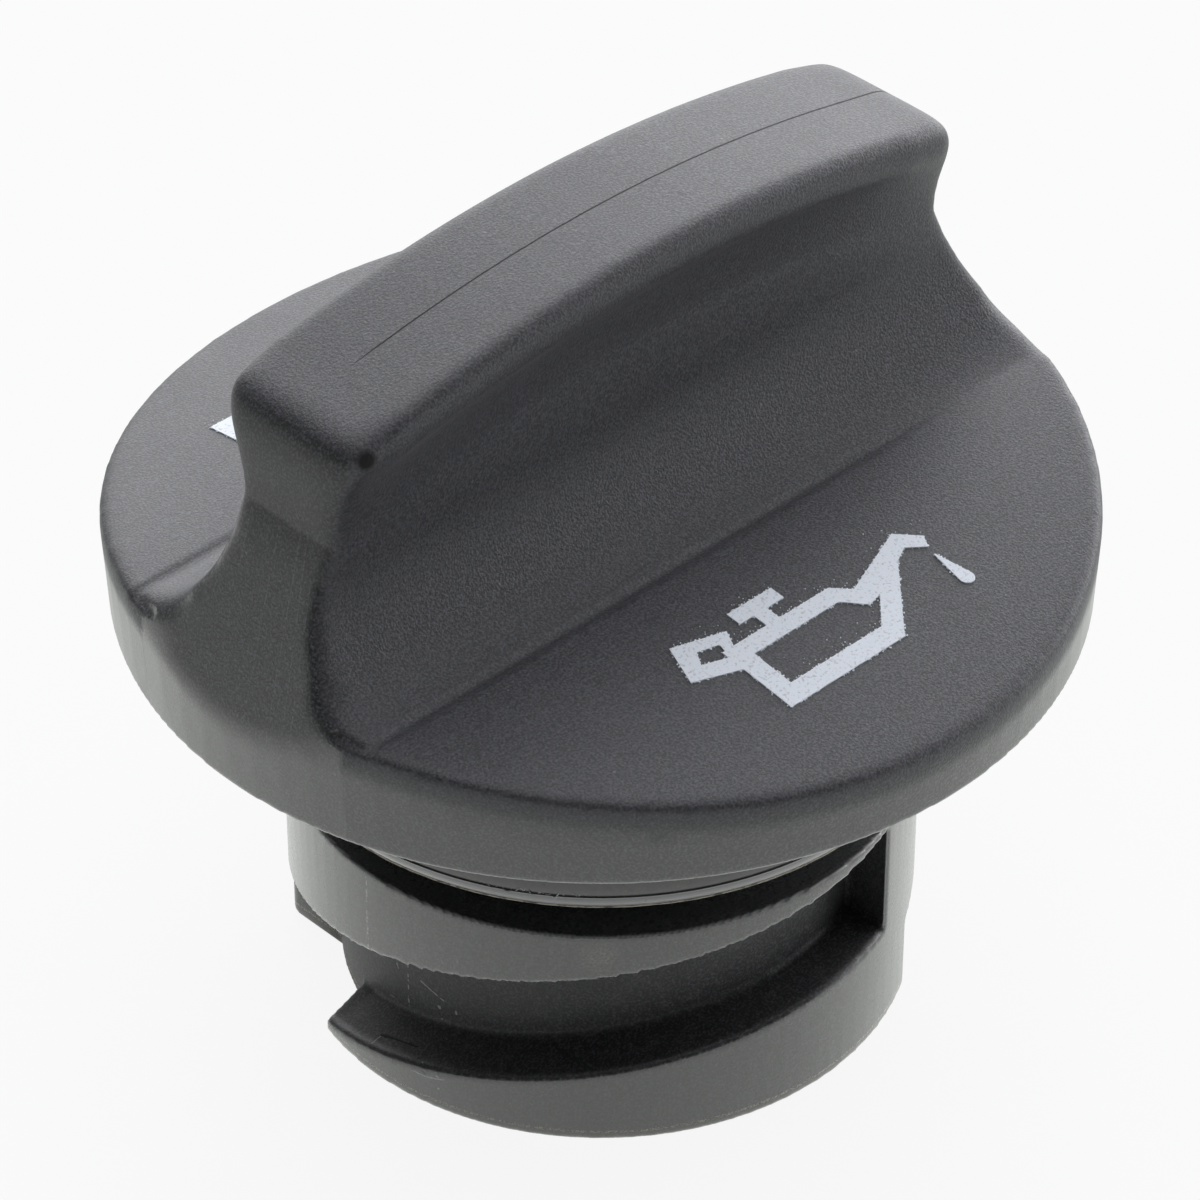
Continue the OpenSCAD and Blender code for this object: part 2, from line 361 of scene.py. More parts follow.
def new_group(name, inputs, outputs):
    """An empty shader group with named sockets, and its two end nodes."""
    tree = bpy.data.node_groups.new(name, "ShaderNodeTree")
    for label, kind, default in inputs:
        socket = tree.interface.new_socket(label, in_out="INPUT", socket_type=kind)
        socket.default_value = default
    for label, kind in outputs:
        tree.interface.new_socket(label, in_out="OUTPUT", socket_type=kind)
    return tree, tree.nodes.new("NodeGroupInput"), tree.nodes.new("NodeGroupOutput")


def add(tree, kind, links=None, **settings):
    """A node with its settings and, by input name or number, its values or incoming sockets."""
    node = tree.nodes.new(kind)
    for key, value in settings.items():
        setattr(node, key, value)
    for key, value in (links or {}).items():
        if isinstance(value, bpy.types.NodeSocket):
            tree.links.new(value, node.inputs[key])
        else:
            node.inputs[key].default_value = value
    return node


def math_node(tree, operation, a, b=0.0, clamp=False):
    node = add(tree, "ShaderNodeMath", {0: a, 1: b}, operation=operation, use_clamp=clamp)
    return node.outputs[0]


def product(tree, a, b):
    return math_node(tree, "MULTIPLY", a, b)


def band(tree, value, low, high, to_low=0.0, to_high=1.0):
    """The value brought from low..high to a clamped new range."""
    node = add(
        tree, "ShaderNodeMapRange",
        {"Value": value, "From Min": low, "From Max": high, "To Min": to_low, "To Max": to_high},
        clamp=True)
    return node.outputs["Result"]


def mix_colour(tree, factor, a, b):
    node = add(tree, "ShaderNodeMix", data_type="RGBA")
    for socket, value in ((node.inputs[0], factor), (node.inputs[6], a), (node.inputs[7], b)):
        if isinstance(value, bpy.types.NodeSocket):
            tree.links.new(value, socket)
        else:
            socket.default_value = value if socket.type == "VALUE" else (*value, 1.0)[:4]
    return node.outputs[2]


def shade(colour, factor):
    """A colour made darker or lighter."""
    return [part * factor for part in colour]


def make_grain_group():
    """Spark-eroded grain: fine pits, soft mottling and light specks, on places in mm."""
    tree, start, end = new_group(
        "Eroded grain",
        [("Place", "NodeSocketVector", (0, 0, 0)), ("Grain size", "NodeSocketFloat", 0.3),
         ("Speck amount", "NodeSocketFloat", 0.5)],
        [("Height", "NodeSocketFloat"), ("Mottle", "NodeSocketFloat"), ("Specks", "NodeSocketFloat")])
    fine_scale = math_node(tree, "DIVIDE", 1.0, start.outputs["Grain size"])
    fine = add(tree, "ShaderNodeTexNoise",
               {"Vector": start.outputs["Place"], "Scale": fine_scale, "Detail": 1.5, "Roughness": 0.6})
    height = product(tree, fine.outputs["Fac"], 1.4)
    broad = add(tree, "ShaderNodeTexNoise",
                {"Vector": start.outputs["Place"], "Scale": 0.16, "Detail": 2.0, "Roughness": 0.6})
    middle = add(tree, "ShaderNodeTexNoise",
                 {"Vector": start.outputs["Place"], "Scale": 1.7, "Detail": 1.0, "Roughness": 0.6})
    mottle = math_node(tree, "ADD", product(tree, broad.outputs["Fac"], 0.55),
                       product(tree, middle.outputs["Fac"], 0.45))
    dots = add(tree, "ShaderNodeTexVoronoi",
               {"Vector": start.outputs["Place"], "Scale": 1.25, "Randomness": 1.0}, feature="F1")
    pick = add(tree, "ShaderNodeSeparateColor", {"Color": dots.outputs["Color"]})
    chosen = math_node(tree, "LESS_THAN", pick.outputs["Red"], start.outputs["Speck amount"])
    radius = math_node(tree, "MULTIPLY_ADD", pick.outputs["Green"], 0.07)
    radius.node.inputs[2].default_value = 0.045
    near = math_node(tree, "LESS_THAN", dots.outputs["Distance"], radius)
    specks = product(tree, chosen, near)
    tree.links.new(height, end.inputs["Height"])
    tree.links.new(mottle, end.inputs["Mottle"])
    tree.links.new(specks, end.inputs["Specks"])
    return tree


def make_scratch_group():
    """A broken scratch between two places in mm."""
    tree, start, end = new_group(
        "Scratch",
        [("Place", "NodeSocketVector", (0, 0, 0)), ("From", "NodeSocketVector", (0, 0, 0)),
         ("To", "NodeSocketVector", (0, 0, 1)), ("Half width", "NodeSocketFloat", 0.05),
         ("Broken", "NodeSocketFloat", 0.5), ("Noise", "NodeSocketFloat", 0.5)],
        [("Mask", "NodeSocketFloat")])

    def vector(operation, a, b, out="Vector"):
        node = add(tree, "ShaderNodeVectorMath", {0: a, 1: b}, operation=operation)
        return node.outputs[out]

    along = vector("SUBTRACT", start.outputs["To"], start.outputs["From"])
    offset = vector("SUBTRACT", start.outputs["Place"], start.outputs["From"])
    part = math_node(tree, "DIVIDE", vector("DOT_PRODUCT", offset, along, "Value"),
                     vector("DOT_PRODUCT", along, along, "Value"), clamp=True)
    scaled = add(tree, "ShaderNodeVectorMath", {0: along, "Scale": part}, operation="SCALE")
    gap = vector("LENGTH", vector("SUBTRACT", offset, scaled.outputs["Vector"]), (0, 0, 0), "Value")
    uneven = band(tree, start.outputs["Noise"], 0.3, 0.7, 0.5, 1.5)
    width = product(tree, start.outputs["Half width"], uneven)
    inside = math_node(tree, "LESS_THAN", gap, width)
    level = math_node(tree, "MULTIPLY_ADD", start.outputs["Broken"], 0.4)
    level.node.inputs[2].default_value = 0.3
    kept = band(tree, math_node(tree, "SUBTRACT", start.outputs["Noise"], level), -0.02, 0.06)
    tree.links.new(product(tree, inside, kept), end.inputs["Mask"])
    return tree


def make_dust_group():
    """Patches of dusty film."""
    tree, start, end = new_group(
        "Dust film",
        [("Place", "NodeSocketVector", (0, 0, 0)), ("Amount", "NodeSocketFloat", 0.5)],
        [("Mask", "NodeSocketFloat"), ("Crumbs", "NodeSocketFloat")])
    cloud = add(tree, "ShaderNodeTexNoise",
                {"Vector": start.outputs["Place"], "Scale": 0.9, "Detail": 5.0, "Roughness": 0.7})
    crumb = add(tree, "ShaderNodeTexNoise",
                {"Vector": start.outputs["Place"], "Scale": 7.0, "Detail": 2.0})
    mask = product(tree, band(tree, cloud.outputs["Fac"], 0.52, 0.72),
                   band(tree, crumb.outputs["Fac"], 0.42, 0.6))
    tree.links.new(product(tree, mask, start.outputs["Amount"]), end.inputs["Mask"])
    tree.links.new(crumb.outputs["Fac"], end.inputs["Crumbs"])
    return tree


def shader_group(name):
    makers = {"Eroded grain": make_grain_group, "Scratch": make_scratch_group,
              "Dust film": make_dust_group}
    return bpy.data.node_groups.get(name) or makers[name]()


def use_group(tree, name, links):
    node = tree.nodes.new("ShaderNodeGroup")
    node.node_tree = shader_group(name)
    for key, value in links.items():
        if isinstance(value, bpy.types.NodeSocket):
            tree.links.new(value, node.inputs[key])
        else:
            node.inputs[key].default_value = value
    return node.outputs


def new_material(name):
    """A material with its shader and the surface's place in mm."""
    material = bpy.data.materials.new(name)
    material.use_nodes = True
    tree = material.node_tree
    shader = tree.nodes["Principled BSDF"]
    where = add(tree, "ShaderNodeTexCoord")
    place = add(tree, "ShaderNodeVectorMath", {0: where.outputs["Object"], "Scale": 1000.0},
                operation="SCALE")
    return material, tree, shader, place.outputs["Vector"]


def add_bump(tree, shader, height, strength, depth):
    """Relief of a depth in mm on a material's surface."""
    bump = add(tree, "ShaderNodeBump", {"Height": height, "Strength": strength, "Distance": depth * MM})
    tree.links.new(bump.outputs["Normal"], shader.inputs["Normal"])


# Materials

# How deep in mm the channels lie below the plug's wall
CHANNEL = 3.4

# Light scratches and scuffs on the plug. Each has a start and an end, both as a turn round the axis
# in degrees, a height in mm and a depth in mm below the plug's wall, then half its width in mm and
# how broken it is.
PLUG_SCRATCHES = [
    ((183.9, 6.91, CHANNEL), (190.2, 6.24, CHANNEL), 0.06, 0.1),
    ((193.3, 5.84, CHANNEL), (193.4, 5.6, CHANNEL), 0.07, 0.0),
    ((188.8, 5.48, CHANNEL), (188.9, 5.49, CHANNEL), 0.12, 0.0),
    ((176.4, 6.95, CHANNEL), (176.8, 6.7, CHANNEL), 0.07, 0.0),
    ((191.4, 3.32, 0.34), (195.5, 2.98, 0), 0.05, 0.0),
    ((189.3, 2.54, 0), (193.1, 2.56, 0), 0.045, 0.1),
    ((193.1, 2.56, 0), (196.5, 2.89, 0), 0.05, 0.0),
    ((179.4, 1.4, 0), (178.8, 2.25, 0.41), 0.04, 0.1),
    ((178.8, 2.25, 0.41), (179.2, 2.57, 1.19), 0.035, 0.1),
    ((195.4, 1.99, 0), (195.5, 1.97, 0), 0.09, 0.0),
    ((180, 9.0, 0), (180, 17.4, 0), 0.06, 0.5),
    ((180, 4.0, CHANNEL), (180, 9.4, CHANNEL), 0.045, 0.55),
    ((173.8, 3.63, CHANNEL), (189.8, 4.59, CHANNEL), 0.04, 0.35),
]

# Dark cracks where the ramp's edge was torn, given in the same way
PLUG_CRACKS = [
    ((179.2, 2.57, 1.19), (181.7, 2.82, 1.27), 0.10, 0.0),
    ((181.7, 2.82, 1.27), (188.4, 3.39, 1.29), 0.06, 0.0),
    ((190.1, 3.2, 0.58), (192.8, 2.75, -0.08), 0.10, 0.0),
]

# Faint strokes down the grip's ends: start and end as places in mm with x left at 0, then half
# the width in mm and how broken they are
END_STROKES = [
    ((0, -0.7, 52.0), (0, -3.6, 36.5), 0.035, 0.25),
    ((0, -1.6, 50.0), (0, -4.6, 38.0), 0.03, 0.35),
    ((0, 1.2, 52.5), (0, -1.4, 37.0), 0.03, 0.4),
    ((0, 3.4, 51.0), (0, 1.9, 40.0), 0.03, 0.45),
    ((0, -3.1, 47.0), (0, -5.4, 37.5), 0.03, 0.4),
]

# The seam runs along the grip's top between these ends in mm, above this height in mm
SEAM_ENDS = (-21.5, 26.6)
SEAM_LOW = 55.5

# The pit at a corner of the grip's end, as a place in mm, and the tan smudge on the plug, as a
# turn, a height and a depth
PIT_PLACE = (-25.0, -5.75, 55.5)
SMUDGE_PLACE = (225.6, 15.96, 0)

# Height in mm of the bevel round the plug's foot, lightened towards the tan film as a painted highlight
FOOT_BEVEL = 0.8


def on_plug(turn, height, depth):
    """A place in mm on the plug or in a channel."""
    radius = sizes().plug_radius / MM - depth
    return radius * math.cos(math.radians(turn)), radius * math.sin(math.radians(turn)), height


def plug_marks(marks):
    """Marks on the plug with their starts and ends as places in mm."""
    return [(on_plug(*start), on_plug(*end), width, broken) for start, end, width, broken in marks]


def strokes(tree, place, noise, marks):
    """One mask for several scratches, which share a noise that breaks them up."""
    total = 0.0
    for start, end, width, broken in marks:
        mask = use_group(tree, "Scratch", {"Place": place, "From": start, "To": end, "Noise": noise,
                                           "Half width": width, "Broken": broken})["Mask"]
        total = math_node(tree, "MAXIMUM", mask, total)
    return total


def spot(tree, place, centre, radius, softness):
    """A mask round one place, with a soft edge."""
    gap = add(tree, "ShaderNodeVectorMath", {0: place, 1: centre}, operation="DISTANCE")
    return band(tree, gap.outputs["Value"], radius, radius + softness, 1.0, 0.0)


def seam_line(tree, place, half_width):
    """The parting line along the grip's top."""
    split = add(tree, "ShaderNodeSeparateXYZ", {0: place})
    across = math_node(tree, "ABSOLUTE", split.outputs["Y"])
    line = band(tree, across, half_width, half_width * 2, 1.0, 0.0)
    above = math_node(tree, "GREATER_THAN", split.outputs["Z"], SEAM_LOW)
    first = band(tree, split.outputs["X"], SEAM_ENDS[0], SEAM_ENDS[0] + 3)
    last = math_node(tree, "LESS_THAN", split.outputs["X"], SEAM_ENDS[1])
    return product(tree, product(tree, line, above), product(tree, first, last))


def moulded_plastic():
    """Black plastic, grained on top and smoother below, with its small marks of use, painted highlights
    along its edges and painted shade in creases, channels and under the grip's lips.
    """
    tint = colours()
    material, tree, shader, place = new_material("moulded_plastic")
    zone = add(tree, "ShaderNodeAttribute", attribute_name="smooth_zone").outputs["Fac"]
    edge = add(tree, "ShaderNodeAttribute", attribute_name="painted_edge_highlight").outputs["Fac"]
    shelter = add(tree, "ShaderNodeAttribute", attribute_name="sheltered_painted_shade").outputs["Fac"]
    painted_crease_shade = add(tree, "ShaderNodeAttribute", attribute_name="painted_crease_shade").outputs["Fac"]
    grain = use_group(tree, "Eroded grain",
                      {"Place": place, "Grain size": tint.grain_size, "Speck amount": 0.22})
    dust = use_group(tree, "Dust film", {"Place": place, "Amount": 1.0})
    mottle = band(tree, grain["Mottle"], 0.3, 0.7)
    top = mix_colour(tree, mottle, shade(tint.grained, 0.86), shade(tint.grained, 1.16))
    low = mix_colour(tree, mottle, shade(tint.smooth, 0.88), shade(tint.smooth, 1.14))
    colour = mix_colour(tree, zone, top, low)
    # Painted shade: darker in the plug's channels and under the lips of the grip's ends
    colour = mix_colour(tree, product(tree, shelter, 0.45), colour, (0.004, 0.004, 0.004))
    pale_grain = product(tree, band(tree, grain["Height"], 0.62, 1.0), 0.9)
    colour = mix_colour(tree, pale_grain, colour, shade(tint.grained, 2.6))
    dark_grain = product(tree, band(tree, grain["Height"], 0.62, 0.35), 0.8)
    colour = mix_colour(tree, dark_grain, colour, shade(tint.grained, 0.35))
    plug_only = band(tree, zone, 0.94, 0.99)
    film = product(tree, product(tree, dust["Mask"], plug_only), 0.5)
    smudge = product(tree, spot(tree, place, on_plug(*SMUDGE_PLACE), 0.5, 1.2),
                     band(tree, dust["Crumbs"], 0.45, 0.6))
    colour = mix_colour(tree, math_node(tree, "MAXIMUM", film, smudge), colour, tint.bloom)
    up = add(tree, "ShaderNodeSeparateXYZ", {0: place}).outputs["Z"]
    # Painted highlight: the plug's foot bevel is lightened towards the tan film
    foot = product(tree, band(tree, up, FOOT_BEVEL, FOOT_BEVEL - 0.15), plug_only)
    colour = mix_colour(tree, product(tree, foot, 0.35), colour, tint.bloom)
    crumb_line = band(tree, math_node(tree, "ABSOLUTE", math_node(tree, "SUBTRACT", up, FOOT_BEVEL)),
                      0.05, 0.14, 1.0, 0.0)
    crumbs = product(tree, product(tree, crumb_line, plug_only),
                     band(tree, dust["Crumbs"], 0.47, 0.58))
    colour = mix_colour(tree, crumbs, colour, shade(tint.bloom, 3.0))
    colour = mix_colour(tree, product(tree, grain["Specks"], 0.16), colour, tint.scuff)
    # Painted highlight: convex edges are lightened, most on the skirt and plug
    edge_highlight = product(tree, edge, band(tree, zone, 0.55, 0.76, 0.12, 0.85))
    colour = mix_colour(tree, edge_highlight, colour, tint.scuff)
    # Painted shade: creases and corners are darkened, less along the scoops' foot towards its far end
    colour = mix_colour(tree, product(tree, painted_crease_shade, 0.8), colour, (0.002, 0.002, 0.002))
    breaks = add(tree, "ShaderNodeTexNoise", {"Vector": place, "Scale": 2.6, "Detail": 2.0})
    breaks = breaks.outputs["Fac"]
    scuffs = strokes(tree, place, breaks, plug_marks(PLUG_SCRATCHES))
    colour = mix_colour(tree, product(tree, scuffs, 0.75), colour, tint.scuff)
    flat_place = add(tree, "ShaderNodeVectorMath", {0: place, 1: (0, 1, 1)}, operation="MULTIPLY")
    end_only = product(tree, band(tree, zone, 0.8, 0.88), band(tree, zone, 0.98, 0.92))
    faint = product(tree, strokes(tree, flat_place.outputs[0], breaks, END_STROKES), end_only)
    colour = mix_colour(tree, product(tree, faint, 0.1), colour, tint.scuff)
    seam = seam_line(tree, place, 0.045)
    pit = spot(tree, place, PIT_PLACE, 0.4, 0.4)
    dark = math_node(tree, "MAXIMUM", product(tree, seam, 0.65), pit)
    dark = math_node(tree, "MAXIMUM", dark, strokes(tree, place, breaks, plug_marks(PLUG_CRACKS)))
    colour = mix_colour(tree, dark, colour, shade(tint.grained, 0.15))
    tree.links.new(colour, shader.inputs["Base Color"])
    rough = math_node(tree, "ADD", band(tree, zone, 0, 1, 0.48, 0.25), product(tree, mottle, 0.06))
    rough = math_node(tree, "ADD", rough, product(tree, shelter, 0.35))
    rough = math_node(tree, "ADD", rough, product(tree, dark, 0.4), clamp=True)
    tree.links.new(rough, shader.inputs["Roughness"])
    skin = product(tree, band(tree, zone, 0.3, 1.0, 0.0, 1.0), band(tree, shelter, 0, 1, 1.0, 0.1))
    tree.links.new(skin, shader.inputs["Coat Weight"])
    shader.inputs["Coat Roughness"].default_value = 0.3
    shader.inputs["Specular IOR Level"].default_value = 0.65
    shader.inputs["Sheen Weight"].default_value = 0.1
    shader.inputs["Sheen Roughness"].default_value = 0.4
    depth = band(tree, zone, 0.76, 0.9, 1.0, 0.45)
    relief = product(tree, grain["Height"], depth)
    relief = math_node(tree, "SUBTRACT", relief, product(tree, seam, 2.0))
    add_bump(tree, shader, relief, 1.0, 0.03)
    return material


def sealing_rubber():
    """Black rubber with a dull film, and painted floor light that makes it paler below the ring's fin.
    """
    tint = colours()
    material, tree, shader, place = new_material("sealing_rubber")
    dust = use_group(tree, "Dust film", {"Place": place, "Amount": 1.0})
    grain = use_group(tree, "Eroded grain", {"Place": place, "Grain size": 0.6, "Speck amount": 0.25})
    mottle = band(tree, grain["Mottle"], 0.35, 0.65)
    colour = mix_colour(tree, mottle, tint.rubber, shade(tint.rubber, 1.6))
    colour = mix_colour(tree, product(tree, dust["Mask"], 0.5), colour, tint.bloom)
    up = add(tree, "ShaderNodeSeparateXYZ", {0: place}).outputs["Z"]
    # Painted light: below the fin, where the ring's lower half faces the floor, the rubber is paler
    fin = SEAL_LOW[2] / MM + SEAL_FIN_HEIGHT
    below = band(tree, up, fin, fin - 0.3, 0.0, 0.6)
    colour = mix_colour(tree, below, colour, shade(tint.rubber, 5.0))
    tree.links.new(colour, shader.inputs["Base Color"])
    tree.links.new(band(tree, grain["Mottle"], 0.3, 0.7, 0.26, 0.4), shader.inputs["Roughness"])
    shader.inputs["Coat Weight"].default_value = 0.8
    shader.inputs["Coat Roughness"].default_value = 0.2
    add_bump(tree, shader, grain["Height"], 0.25, 0.02)
    return material


def grained_finish(name, grain_size, specks, levels, low, high, roughness):
    """A material whose colour goes from one to another with its grain."""
    material, tree, shader, place = new_material(name)
    grain = use_group(tree, "Eroded grain",
                      {"Place": place, "Grain size": grain_size, "Speck amount": specks})
    colour = mix_colour(tree, band(tree, grain["Height"], *levels), low, high)
    tree.links.new(colour, shader.inputs["Base Color"])
    tree.links.new(band(tree, grain["Mottle"], 0.3, 0.7, *roughness), shader.inputs["Roughness"])
    return material, tree, shader, grain["Height"]


def torn_rubber():
    """Whitened shreds of the ring's fin."""
    tint = colours()
    return grained_finish("torn_rubber", 0.5, 0.3, (0.45, 0.75),
                          tint.rubber, shade(tint.scuff, 1.1), (0.3, 0.5))[0]


def crumbly_film():
    """Pale tan crumbs and dried film along an edge."""
    tint = colours()
    return grained_finish("crumbly_film", 0.7, 0.3, (0.45, 0.7),
                          tint.bloom, shade(tint.bloom, 4.2), (0.5, 0.7))[0]


def white_print():
    """White ink, a little worn and grainy."""
    tint = colours()
    material, tree, shader, height = grained_finish(
        "white_print", 0.22, 0.2, (0.42, 0.62),
        shade(tint.print_white, 0.72), tint.print_white, (0.5, 0.62))
    add_bump(tree, shader, height, 0.4, 0.02)
    return material


def the_material(maker):
    """The material that a function of this file makes, made once."""
    return bpy.data.materials.get(maker.__name__) or maker()


# Operators


class FILLER_CAP_OT_body(Operator):
    """Body of the cap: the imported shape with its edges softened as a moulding's are"""

    bl_idname = "filler_cap.body"
    bl_label = "Moulded body"

    def edge_line(self, piece, lowest, outward, sharpness):
        """Places in mm along the piece's outward or inward edges above a height in mm."""
        mesh = bmesh.new()
        mesh.from_mesh(piece.data)
        places = []
        for edge in mesh.edges:
            if edge.is_convex != outward or edge.calc_face_angle(0.0) < math.radians(sharpness):
                continue
            start, end = (vertex.co / MM for vertex in edge.verts)
            if min(start.z, end.z) < lowest:
                continue
            count = 1 + int((end - start).length / 0.3)
            places += [start.lerp(end, step / count) for step in range(count + 1)]
        mesh.free()
        tree = KDTree(len(places))
        for index, place in enumerate(places):
            tree.insert(place, index)
        tree.balance()
        return tree

    def end_weight(self, place):
        """Where the grip's ends turn into their scoops."""
        if abs(place.x) < END_FROM or abs(place.y) > END_HALF:
            return 0.0
        return bump_weight(place.z - END_TURN, END_REACH) * min(1.0, (abs(place.x) - END_FROM) / 2)

    def ridge_weight(self, place):
        """Where the ridges of the scoops run out in the crown's edge."""
        if abs(place.z - RIDGE_FOOT[2]) > RIDGE_REACH or abs(place.x) < RIDGE_FOOT[0] - RIDGE_REACH:
            return 0.0
        offset = Vector((abs(place.x), abs(place.y), place.z)) - Vector(RIDGE_FOOT)
        return bump_weight(offset.length, RIDGE_REACH)

    def foot_fade(self, place):
        """How much is left of the line at a scoop's foot, which dies out towards the far end."""
        if place.z <= FOOT_LOW:
            return 1.0
        start, end = FOOT_FADE
        return min(1.0, max(0.1, (end - place.x) / (end - start)))

    def groove(self, piece, line):
        """Deepens the line at the foot of the grip's scoops."""
        moves = []
        for vertex in piece.data.vertices:
            place = vertex.co / MM
            if FOOT_LOW < place.z < FOOT_HIGH:
                near = bump_weight(line.find(place)[2], FOOT_HALF)
                depth = FOOT_DEPTH * self.foot_fade(place) * near
                if depth > 0.005:
                    moves.append((vertex, vertex.normal * depth * MM))
        for vertex, move in moves:
            vertex.co -= move

    def swell_ends(self, piece):
        """Pushes the lips of the grip's ends out, as rounding draws them in again."""
        for vertex in piece.data.vertices:
            swell = END_SWELL * self.end_weight(vertex.co / MM)
            if swell > 0.001:
                vertex.co.x += math.copysign(swell * MM, vertex.co.x)

    def lip_weight(self, size):
        """Gives the weight of the band along the lips of the grip's scoops."""
        top = BODY_HIGH[2] / MM
        centre = top - size.arch_radius / MM

        def weight(place):
            if place.z < LIP_LOW or abs(place.y) < LIP_INNER:
                return 0.0
            depth = top - centre - math.hypot(place.x, place.z - centre)
            return bump_weight(max(0.0, abs(depth - LIP_DEPTH) - LIP_HALF), LIP_FADE)

        return weight

    def bulge(self, vertex):
        """How far the surface turns away from a vertex: above 0 on an edge, below 0 in a corner."""
        total = 0.0
        for edge in vertex.link_edges:
            step = edge.other_vert(vertex).co - vertex.co
            total -= step.dot(vertex.normal) / max(step.length, 1e-9)
        return total / max(1, len(vertex.link_edges))

    def on_end(self, place, turn):
        """Whether a place in mm is on the flat face of one of the grip's ends."""
        beside = abs(place.y) < RIDGE_FOOT[1] + 0.8
        return abs(turn.x) > 0.75 and abs(place.x) > END_FROM + 2 and beside

    def zone(self, place, turn, size):
        """How smooth the finish is at a place in mm."""
        if self.on_end(place, turn):
            return END_ZONE
        if place.z < size.skirt_height / MM - 0.4:
            return PLUG_ZONE
        crown = size.crown_height / MM - place.y ** 2 / (2 * size.crown_radius / MM)
        below = clamped((crown - RIM_DROP - place.z) / RIM_FADE)
        return SKIRT_ZONE * below * clamped((0.8 - turn.z) / 0.4)

    def shelter(self, place, turn, size):
        """How far into shelter a place in mm lies, in the plug's channels and under the lips of the
        ends: there the finish dulls and shade is painted.
        """
        if place.z < size.collar_height / MM and turn.z > -0.5:
            return clamped((size.plug_radius / MM - math.hypot(place.x, place.y)) / 0.8)
        if self.on_end(place, turn):
            return 0.85 * clamped((place.z - END_SHADE_LOW) / END_SHADE_RISE)
        return 0.0

    def mark_surface(self, piece, size):
        """Stores for the material how smooth each vertex is, its painted highlight on edges, and its
        painted shade in shelter and in creases.
        """
        mesh = bmesh.new()
        mesh.from_mesh(piece.data)
        mesh.normal_update()
        marks = {"painted_edge_highlight": [], "smooth_zone": [], "sheltered_painted_shade": [], "painted_crease_shade": []}
        for vertex in mesh.verts:
            place = vertex.co / MM
            bulge = self.bulge(vertex)
            # Convex edges get a painted highlight and concave creases painted shade
            marks["painted_edge_highlight"].append(clamped((bulge - 0.1) / 0.12))
            marks["painted_crease_shade"].append(clamped((-bulge - 0.04) / 0.2) * self.foot_fade(place))
            marks["smooth_zone"].append(self.zone(place, vertex.normal, size))
            marks["sheltered_painted_shade"].append(self.shelter(place, vertex.normal, size))
        mesh.free()
        for name, values in marks.items():
            attribute = piece.data.attributes.new(name, "FLOAT", "POINT")
            attribute.data.foreach_set("value", values)

    def execute(self, context):
        size = sizes()
        piece = merged_copy("cap_body", "moulded_body")
        lowest = size.skirt_height / MM + 2
        edges = self.edge_line(piece, lowest, True, EDGE_ANGLE)
        foot = self.edge_line(piece, FOOT_LOW, False, CREASE_ANGLE)
        apply_modifier(piece, "REMESH", mode="VOXEL", voxel_size=size.voxel)
        apply_modifier(piece, "SMOOTH", factor=0.5, iterations=size.soft_passes)

        def round_weight(place):
            return bump_weight(edges.find(place)[2], ROUND_REACH) if place.z > lowest - 1 else 0.0

        rounded = weigh(piece, "rounded", round_weight)
        apply_modifier(piece, "SMOOTH", factor=0.5, iterations=size.round_passes, vertex_group=rounded)
        lip = weigh(piece, "lip", self.lip_weight(size))
        apply_modifier(piece, "SMOOTH", factor=0.5, iterations=size.lip_passes, vertex_group=lip)
        self.swell_ends(piece)
        turn = weigh(piece, "turn", lambda place: max(self.end_weight(place), self.ridge_weight(place)))
        apply_modifier(piece, "SMOOTH", factor=0.5, iterations=size.turn_passes, vertex_group=turn)
        self.groove(piece, foot)
        quads = len(piece.data.polygons)
        apply_modifier(piece, "DECIMATE", ratio=min(1.0, size.body_triangles / (2.0 * quads)))
        piece.vertex_groups.clear()
        make_active(piece)
        bpy.ops.object.shade_smooth()
        self.mark_surface(piece, size)
        if len(piece.data.vertices) < 1000:
            raise RuntimeError("the body came out empty")
        finish_piece(piece, the_material(moulded_plastic))
        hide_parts("cap_body")
        return {"FINISHED"}


